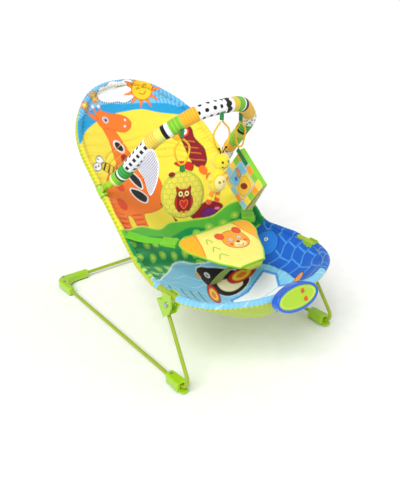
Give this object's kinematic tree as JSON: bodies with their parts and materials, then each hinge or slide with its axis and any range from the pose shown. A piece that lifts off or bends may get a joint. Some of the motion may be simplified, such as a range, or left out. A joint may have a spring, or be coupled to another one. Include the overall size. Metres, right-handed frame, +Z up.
{
  "type": "baby bouncer seat",
  "caption": "Sprung wire-frame infant bouncer with a padded sling seat, lap harness, vibration unit and a swinging padded toy bar with hanging toys.",
  "frame": {"origin": "middle of the floor rectangle that the whole seat covers, at floor level", "axes": "+Z up; +Y from the foot end towards the head end; +X to the right as seen from the foot end, so node names with left are at -X"},
  "size_m": [0.4254, 0.659, 0.5233],
  "materials": {
    "base_rod": "satin olive-lime powder coat on steel rod",
    "lime_plastic": "glossy lime moulding",
    "floor_rubber": "matt",
    "steel": "zinc plated",
    "frame_tube": "satin powder coat",
    "cover_print": "printed woven polyester, padded",
    "hem_fabric": "gathered plain weave",
    "pad_fabric": "printed, piped edge",
    "webbing": "woven webbing",
    "buckle_plastic": "glossy",
    "unit_blue": "glossy",
    "unit_lime": "glossy",
    "button_orange": "glossy",
    "grey_plastic": "matt",
    "battery_can": "printed sleeve, plain",
    "contact": "nickel flashed",
    "board": "solder mask",
    "motor_can": "bright",
    "bar_core": "natural",
    "sleeve_fabric": "printed band by band over foam",
    "leaf_fabric": "printed stripes, piped edge",
    "hook_plastic": "glossy dark green",
    "toy_cord": "round braid",
    "owl_fabric": "printed plush face",
    "plush_fabric": "short pile",
    "book_fabric": "printed patchwork",
    "book_page": "printed"
  },
  "bodies": {
    "base": {"rear_crossbar": "base_rod", "left_side_rail": "base_rod", "right_side_rail": "base_rod", "rear_left_elbow": "lime_plastic", "rear_right_elbow": "lime_plastic", "front_left_foot": "lime_plastic", "front_right_foot": "lime_plastic", "floor_pads": "floor_rubber", "base_screws": "steel"},
    "legs": {"left_spring_leg": "base_rod", "right_spring_leg": "base_rod", "left_bracket_outer": "lime_plastic", "left_bracket_inner": "lime_plastic", "right_bracket_outer": "lime_plastic", "right_bracket_inner": "lime_plastic", "bracket_screws": "steel", "pivot_bolts": "steel", "pivot_nuts": "steel"},
    "seat": {"seat_tube": "frame_tube", "backrest_tube": "frame_tube", "tube_joiners": "steel", "seat_clamps": "grey_plastic", "clamp_screws": "steel", "seat_panel": "cover_print", "back_panel": "cover_print", "cover_hems": "hem_fabric", "bar_clips": "lime_plastic", "bar_pins": "steel", "crotch_pad": "pad_fabric", "waist_straps": "webbing", "buckle_sockets": "buckle_plastic", "buckle_tongues": "buckle_plastic", "unit_housing": "unit_blue", "unit_face": "unit_lime", "unit_clamp": "grey_plastic", "battery_door": "grey_plastic", "unit_screws": "steel", "battery": "battery_can", "battery_contacts": "contact", "circuit_board": "board", "vibration_motor": "motor_can", "speaker": "grey_plastic"},
    "toy_bar": {"toy_bar_tube": "bar_core", "toy_bar_sleeve": "sleeve_fabric", "bar_ends": "lime_plastic", "striped_leaf": "leaf_fabric", "toy_eyes": "hook_plastic"},
    "owl": {"owl_loop": "toy_cord", "owl_clip": "hook_plastic", "owl_disc": "owl_fabric"},
    "plush": {"plush_loop": "toy_cord", "plush_body": "plush_fabric"},
    "book": {"book_loop": "toy_cord", "book_tab": "webbing", "book_cover": "book_fabric", "book_pages": "book_page"},
    "upper_button": {"upper_button": "button_orange"},
    "lower_button": {"lower_button": "button_orange"},
    "eccentric_weight": {"eccentric_weight": "steel"}
  },
  "joints": [
    {"name": "bounce", "type": "hinge", "parent": "base", "child": "legs", "pos_m": [0, -0.20044, 0.012], "axis": [1, 0, 0], "range_deg": [-6.5, 1.5], "stiffness_Nm_per_rad": 250, "springref_deg": 0.69},
    {"name": "recline", "type": "hinge", "parent": "legs", "child": "seat", "pos_m": [0, -0.16644, 0.174], "axis": [1, 0, 0], "range_deg": [-8.5, 7]},
    {"name": "bar_swing", "type": "hinge", "parent": "seat", "child": "toy_bar", "pos_m": [0, 0.10308, 0.32038], "axis": [1, 0, 0], "range_deg": [-60, 5]},
    {"name": "owl_swing", "type": "hinge", "parent": "toy_bar", "child": "owl", "pos_m": [-0.086, -0.05545, 0.45476], "axis": [1, 0, 0], "range_deg": [-25, 25]},
    {"name": "plush_swing", "type": "hinge", "parent": "toy_bar", "child": "plush", "pos_m": [-0.009, -0.08094, 0.48078], "axis": [1, 0, 0], "range_deg": [-25, 25]},
    {"name": "book_swing", "type": "hinge", "parent": "toy_bar", "child": "book", "pos_m": [0.069, -0.04594, 0.45735], "axis": [1, 0, 0], "range_deg": [-25, 25]},
    {"name": "upper_button_press", "type": "slide", "parent": "seat", "child": "upper_button", "axis": [0, 0.9397, -0.342], "range_m": [0, 0.0015], "stiffness_N_per_m": 300, "springref_m": -0.001},
    {"name": "lower_button_press", "type": "slide", "parent": "seat", "child": "lower_button", "axis": [0, 0.9397, -0.342], "range_m": [0, 0.0015], "stiffness_N_per_m": 300, "springref_m": -0.001},
    {"name": "weight_spin", "type": "hinge", "parent": "seat", "child": "eccentric_weight", "pos_m": [0, -0.30922, 0.19641], "axis": [1, 0, 0], "continuous": true}
  ]
}
